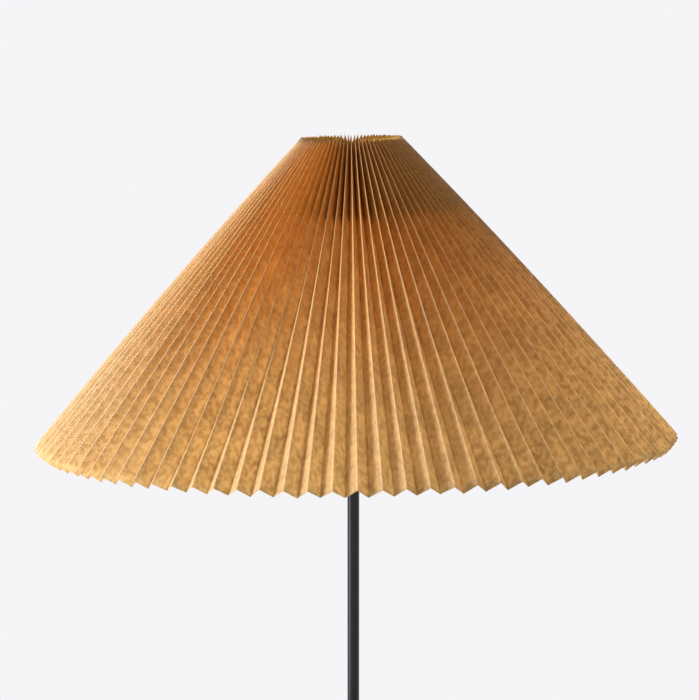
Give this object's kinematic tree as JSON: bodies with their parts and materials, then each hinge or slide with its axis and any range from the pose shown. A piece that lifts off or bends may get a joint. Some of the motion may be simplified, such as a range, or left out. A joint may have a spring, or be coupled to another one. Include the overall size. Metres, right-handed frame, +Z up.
{
  "type": "floor lamp",
  "caption": "Floor lamp: wide cone of pleated kraft paper on a harp over a slim black pole with a round weighted base.",
  "frame": {"origin": "centre of the round base on the floor, under the felt pad", "axes": "+Z up along the pole; -Y is the front, where the switch knob points; +Y is the back, where the cord inlet is; +X to the right seen from the front"},
  "size_m": [0.682, 0.6824, 1.5228],
  "materials": {
    "felt": "dense pressed felt",
    "cast_iron": "raw casting, machined top",
    "satin_black": "satin black powder coat",
    "black_wire": "satin black paint on steel",
    "grommet_rubber": "matt moulded rubber",
    "plated_steel": "bright zinc plate",
    "socket_brass": "drawn brass",
    "socket_card": "pressed insulating card",
    "phenolic": "moulded phenolic",
    "knob_plastic": "moulded black plastic",
    "opal_glass": "opal, etched inside",
    "cap_aluminium": "rolled screw cap",
    "kraft_paper": "oiled kraft paper, fold lines crisp",
    "lining_card": "thin lining card"
  },
  "bodies": {
    "stand": {"base_pad": "felt", "base_weight": "cast_iron", "base_cover": "satin_black", "cord_grommet": "grommet_rubber", "base_washer": "plated_steel", "base_nut": "plated_steel", "base_nipple": "plated_steel", "pole_collar": "satin_black", "pole_lower": "satin_black", "pole_middle": "satin_black", "pole_upper": "satin_black", "pole_bushes": "plated_steel", "joint_nipple_lower": "plated_steel", "joint_nipple_upper": "plated_steel", "harp_saddle": "black_wire", "harp": "black_wire", "harp_stud": "black_wire", "socket_nipple": "plated_steel", "socket_cap": "satin_black", "socket_shell": "satin_black", "socket_liner": "socket_card", "switch_block": "phenolic", "screw_shell": "socket_brass", "centre_contact": "socket_brass"},
    "shade": {"shade_sheet_01": "kraft_paper", "shade_sheet_02": "kraft_paper", "shade_sheet_03": "kraft_paper", "shade_sheet_04": "kraft_paper", "shade_sheet_05": "kraft_paper", "shade_sheet_06": "kraft_paper", "shade_sheet_07": "kraft_paper", "shade_sheet_08": "kraft_paper", "shade_sheet_09": "kraft_paper", "shade_sheet_10": "kraft_paper", "crown_lining": "lining_card", "crown_hoop_upper": "black_wire", "crown_hoop_lower": "black_wire", "crown_ribs": "black_wire", "spider_hub": "black_wire", "spider_arms": "black_wire"},
    "finial": {"finial": "black_wire"},
    "switch": {"switch_shaft": "plated_steel", "switch_knob": "knob_plastic"},
    "bulb": {"bulb_cap": "cap_aluminium", "bulb_glass": "opal_glass"},
    "ferrule_left": {"harp_ferrule_left": "black_wire"},
    "ferrule_right": {"harp_ferrule_right": "black_wire"}
  },
  "joints": [
    {"name": "shade_swivel", "type": "hinge", "parent": "stand", "child": "shade", "pos_m": [0, 0, 1.499], "axis": [0, 0, 1], "continuous": true},
    {"name": "finial_turn", "type": "hinge", "parent": "stand", "child": "finial", "pos_m": [0, 0, 1.5021], "axis": [0, 0, 1], "range_deg": [0, 1440]},
    {"name": "knob_turn", "type": "hinge", "parent": "stand", "child": "switch", "pos_m": [0, -0.0261, 1.2976], "axis": [0, -1, 0], "continuous": true},
    {"name": "bulb_turn", "type": "hinge", "parent": "stand", "child": "bulb", "pos_m": [0, 0, 1.3043], "axis": [0, 0, 1], "range_deg": [0, 1080]},
    {"name": "ferrule_left_lift", "type": "slide", "parent": "stand", "child": "ferrule_left", "axis": [0, 0, 1], "range_m": [0, 0.014]},
    {"name": "ferrule_right_lift", "type": "slide", "parent": "stand", "child": "ferrule_right", "axis": [0, 0, 1], "range_m": [0, 0.014]}
  ]
}
